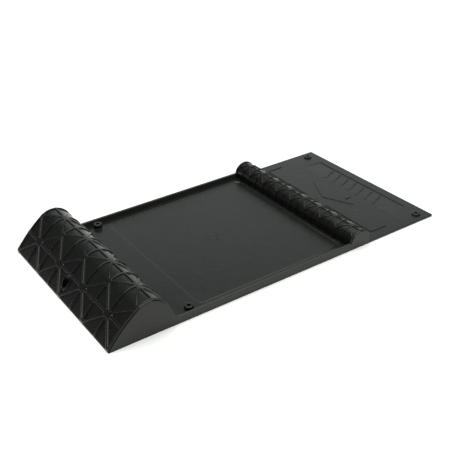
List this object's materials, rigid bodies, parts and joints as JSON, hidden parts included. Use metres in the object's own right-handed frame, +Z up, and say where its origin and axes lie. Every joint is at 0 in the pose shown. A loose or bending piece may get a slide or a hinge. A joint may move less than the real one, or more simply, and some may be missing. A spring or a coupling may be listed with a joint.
{
  "type": "parking stop mat",
  "caption": "Garage parking mat: a tall wheel stop, a tyre bay with side lips, a low ridge to roll over and a flat end panel with a direction arrow, screwed or gripped to the floor.",
  "frame": {"origin": "on the ground, at the middle of the mat's length and width", "axes": "+X along the mat from the wheel stop to the end panel, +Y across it, +Z up from the ground"},
  "size_m": [0.52, 0.268, 0.0484],
  "materials": {
    "moulded_body": "satin black moulded plastic",
    "raised_lattice": "satin black moulded plastic, moulded with the body",
    "raised_marks": "satin black moulded plastic, low relief",
    "grip_rubber": "matt black rubber"
  },
  "bodies": {
    "root": {"wheel_stop": "moulded_body", "stop_lattice": "raised_lattice", "stop_webs": "moulded_body", "screw_well": "moulded_body", "bay_floor": "moulded_body", "side_lip_near": "moulded_body", "side_lip_far": "moulded_body", "ridge": "moulded_body", "ridge_lattice": "raised_lattice", "ridge_webs": "moulded_body", "end_panel": "moulded_body", "boss_bay_near": "moulded_body", "boss_bay_far": "moulded_body", "boss_panel_near": "moulded_body", "boss_panel_far": "moulded_body", "arrow_mark": "raised_marks", "bracket_marks": "raised_marks", "slanted_bars": "raised_marks", "grip_strip_front": "grip_rubber", "grip_strip_middle": "grip_rubber", "grip_strip_rear": "grip_rubber"}
  },
  "joints": []
}
